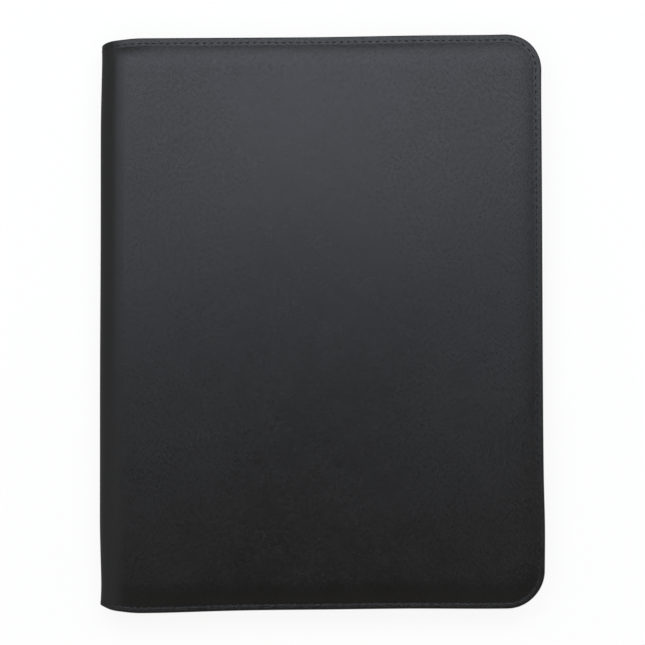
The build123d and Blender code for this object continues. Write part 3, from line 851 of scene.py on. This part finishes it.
# Pockets: thin black leather, edges turned and sewn down on three sides. A wide one under the pad holds its
# backing card, a deep one inside the front cover takes documents, and three stepped ones take cards.
pocket_leather = leather("pocket_leather", 0.018, 0.5, None)
pad_room = 6.0
mouth_roll, roll_height = 2.2, 0.18
hemmed_skin = 0.75
sew_inset, mouth_seam = 2.2, 0.9
flat_radius = corner_radius - 10.0


def pocket(node, radius, hem_under, facing):
    """A pocket's panel in its node's box. With its hems under, they lie on the lining and the middle stands
    off smoothly by what the box gives it. The mouth along the upper edge is a doubled roll, and the face has
    a slow ripple in a sine. facing is 1 up, -1 down."""
    low, high = (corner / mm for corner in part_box(node))
    skin = hemmed_skin if hem_under else high.z - low.z - 0.05
    seat, outermost = (low.z, high.z) if facing > 0 else (high.z, low.z)

    def stand_off(x, y):
        hem = np.minimum(np.minimum(x - low.x, high.x - x), y - low.y)
        return smooth(hem, 1.0, pad_room) if hem_under else 1 + 0 * x

    def outside(x, y):
        roll = roll_height * np.exp(-((high.y - mouth_roll / 2 - y) / (mouth_roll / 2)) ** 4)
        near = seat + facing * (skin + 0.02)
        ripple = 0.05 * np.sin(x / 17 + y / 29)
        return near + (outermost - near) * stand_off(x, y) - facing * (0.2 - roll + ripple * stand_off(x, y))

    def inside(x, y):
        return outside(x, y) - facing * (skin - 0.15)

    faces = (inside, outside) if facing > 0 else (outside, inside)
    return panel((low.x, high.x, low.y, high.y), *faces, radius, step=3.0), outside


def sewn_run(name, start, end, surface, facing, body):
    """A straight line of stitches between two points, lying on a surface."""
    start, end = np.array(start), np.array(end)
    length = np.hypot(*(end - start))
    count = int(length / stitch_pitch)
    steps = (np.arange(count) + 0.5)[:, None] / count
    places = start + steps * (end - start)
    heading = np.full(count, np.arctan2(*(end - start)[::-1]))
    points, faces = thread_bars(*places.T, heading, lambda x, y, depth: np.stack(
        np.broadcast_arrays(x, y, surface(x, y) - facing * (depth + 0.05)), axis=-1))
    run = add_piece(name, points, faces)
    thread.on(run)
    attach(run, body)


pocket_rows = (
    ("pad_pocket", flat_radius, True, 1, "back_cover"),
    ("document_pocket", flat_radius, False, -1, "front_cover"),
    ("card_pocket_upper", 0.0, False, -1, "front_cover"),
    ("card_pocket_middle", 0.0, False, -1, "front_cover"),
    ("card_pocket_lower", 0.0, False, -1, "front_cover"),
)
for node, radius, hem_under, facing, body in pocket_rows:
    (points, faces), outside = pocket(node, radius, hem_under, facing)
    made = add_piece(node + "_leather", points, faces)
    pocket_leather.on(made)
    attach(made, body)
    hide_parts(node)
    low, high = (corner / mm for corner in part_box(node))
    left, right, bottom = low.x + sew_inset, high.x - sew_inset, low.y + sew_inset
    top, mouth = high.y - 1, high.y - mouth_roll - mouth_seam
    turn = max(radius, sew_inset)
    rows = {
        "left": ((left, top), (left, bottom)),
        "bottom": ((left, bottom), (high.x - turn, bottom)),
        "right": ((right, low.y + turn), (right, top)),
        "mouth": ((left, mouth), (right, mouth)),
    }
    for edge_name, (start, end) in rows.items():
        sewn_run(node + "_seam_" + edge_name, start, end, outside, facing, body)

# Writing pad: a block of white ruled sheets on a grey card, held along the top by a glued strip. The card's
# lower part is slipped behind the pocket.
pad_low, pad_high = (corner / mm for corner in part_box("pad_sheets"))
rng = np.random.default_rng(7)
leaves = 14
leaf_lip = np.column_stack((0.05 + 0.22 * rng.random(leaves), np.linspace(0, 1, leaves)))
page_box = (pad_low.x, pad_high.x, pad_low.y, pad_high.y)
block = panel(page_box, level(pad_low.z), level(pad_high.z), lip=leaf_lip, step=14.0)
sheets = add_piece("pad_leaves", *block)
paper = Finish("pad_paper", Roughness=0.88)
line_gap, line_share, margin_half, leaf_turn = 0.0087, 0.045, 0.0003, 42000.0
margin_x = (pad_low.x + 32.0) * mm
head_y = (pad_high.y - 34.0) * mm
up = paper.place.axis("Z") > (pad_high.z - 0.05) * mm
across, down = paper.place.axis("X"), paper.place.axis("Y")
ruled = paper.place.math("FRACT", down / line_gap + 100.0, 0.0)
rule_line = (ruled < line_share) * (down < head_y) * up
margin_line = (paper.place.math("ABSOLUTE", across - margin_x, 0.0) < margin_half) * up
leaf_edge = paper.place.math("SINE", paper.place.axis("Z") * leaf_turn, 0.0) * (1 - up)
sheet_tone = (0.5 * paper.place.noise(35.0, 3.0) + 0.5 + 0.22 * leaf_edge).blend(
    (0.70, 0.69, 0.66, 1), (0.83, 0.825, 0.80, 1)
)
with_rules = (rule_line * 0.75).blend(sheet_tone, (0.36, 0.47, 0.62, 1))
paper.paint(
    Base_Color=(margin_line * 0.7).blend(with_rules, (0.66, 0.28, 0.28, 1)),
    Normal=(paper.place.noise(1800.0, 3.0) + leaf_edge).bump(0.00005, 0.35),
)
paper.on(sheets)
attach(sheets, "back_cover")
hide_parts("pad_sheets")
card = Finish("pad_card", Roughness=0.85)
pulp = card.place.noise(700.0, 4.0)
card.paint(Base_Color=pulp.blend(grey(0.24, 0.08), grey(0.40, 0.08)), Normal=pulp.bump(0.0001, 0.4))
card.on(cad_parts["pad_backing"])
strip_paper = Finish("pad_strip")
laid = strip_paper.place.noise(500.0, 3.0)
strip_paper.paint(
    Base_Color=laid.blend((0.012, 0.016, 0.03, 1), (0.03, 0.036, 0.055, 1)),
    Roughness=0.5 + 0.2 * laid,
    Normal=laid.bump(0.00006, 0.4),
)
strip_paper.on(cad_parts["pad_binding"])

# Stage: a white sweep that keeps the case's shadow. A wide window-like light stands over its far end, and its
# image in the leather is the sheen that fades down the cover; a broad lamp overhead, which the leather does
# not mirror, fills in. The room has pale walls and a dark ceiling, both nearer to grey at the front.
floor_reach, sweep_glow = 6.0, 0.88
wall_level, ceiling_level = 0.40, 0.025
front_shade, front_glow = 0.47, 0.155
window_near, window_far, window_height, window_width = 0.245, 0.95, 1.4, 1.65
window_level = 3.1
fill_side, fill_height, fill_level = 4.0, 2.5, 1.3


def area_light(name, place, aim, size, power, colour):
    """A rectangular lamp at a place, turned towards the aim."""
    lamp = bpy.data.lights.new(name, "AREA")
    lamp.shape = "RECTANGLE"
    lamp.size, lamp.size_y = size
    lamp.energy = power
    lamp.color = colour
    light = add_object(name, lamp)
    light.location = place
    light.rotation_mode = "QUATERNION"
    light.rotation_quaternion = (Vector(aim) - Vector(place)).to_track_quat("-Z", "Y")
    return light


floor_mesh = bpy.data.meshes.new("floor")
corners = [(x * floor_reach, y * floor_reach, 0) for x, y in ((-1, -1), (1, -1), (1, 1), (-1, 1))]
floor_mesh.from_pydata(corners, [], [(0, 1, 2, 3)])
floor = add_object("floor", floor_mesh)
sweep = Finish("white_sweep", Base_Color=grey(0.9), Roughness=0.9)
floor_mesh.materials.append(sweep.material)
kinds = ("Is Camera Ray", "Is Glossy Ray", "Is Transmission Ray")
camera_seen, mirrored, through = (sweep.place.node("ShaderNodeLightPath", {}, {}, kind) for kind in kinds)
seen = camera_seen + mirrored + through
glow = sweep.place.node("ShaderNodeEmission", {}, {"Color": (1, 1, 1, 1), "Strength": 1.0}, "Emission")
sweep.cover(seen * sweep_glow, glow)

world = bpy.data.worlds.new("studio")
bpy.context.scene.world = world
world.use_nodes = True
room = Wire(world.node_tree.nodes.new("ShaderNodeTexCoord").outputs["Generated"])
camera_ray = room.node("ShaderNodeLightPath", {}, {}, "Is Camera Ray")
overhead = room.axis("Z").ease(0.45, 0.93)
towards_front = (0.0 - room.axis("Y")).ease(0.0, 0.8)
walls = wall_level * (1 - front_shade * towards_front)
ceiling = ceiling_level + front_glow * (0.0 - room.axis("Y")).ease(0.1, 0.35)
room_level = walls + (ceiling - walls) * overhead
world_glow = world.node_tree.nodes["Background"]
world_glow.inputs["Color"].default_value = (1, 1, 1, 1)
shown_level = room_level + (1 - room_level) * camera_ray
world.node_tree.links.new(shown_level.socket, world_glow.inputs["Strength"])
window_depth = window_far - window_near
window_middle = (window_near + window_far) / 2
window_power = window_level * np.pi * window_width * window_depth
area_light("window", (0, window_middle, window_height), (0, window_middle, 0), (window_width, window_depth),
           window_power, (0.79, 0.863, 0.99))
fill = area_light("fill", (0, 0, fill_height), (0, 0.001, 0), (fill_side, fill_side),
                  fill_level * np.pi * fill_side ** 2, (1.0, 0.985, 0.96))
fill.visible_glossy = False

# Camera: almost straight above the case, as the photograph was taken. Its tilt, distance and scale, in pixels
# to a millimetre, were fitted to the outline in the photograph, which is square.
view_tilt, view_lean, view_roll = np.radians((-4.465, -0.339, 0.301))
view_distance = 1400.0
view_scale = 1.6918
view_offset = (1.354, -1.300)
image_side = 645
turns = ((view_roll, "Z"), (view_lean, "Y"), (view_tilt, "X"))
roll, lean, tilt = (Matrix.Rotation(angle, 3, axis) for angle, axis in turns)
turn = (roll @ lean @ tilt).transposed()
lens = bpy.data.cameras.new("camera")
lens.lens = view_scale * view_distance * lens.sensor_width / image_side
lens.clip_end = 100
camera = add_object("camera", lens)
aim_height = Vector((0, 0, 22.8))
camera.location = (aim_height + turn @ Vector((*view_offset, view_distance))) * mm
camera.rotation_mode = "QUATERNION"
camera.rotation_quaternion = turn.to_quaternion()
bpy.context.scene.camera = camera
bpy.context.scene.view_settings.view_transform = "Standard"
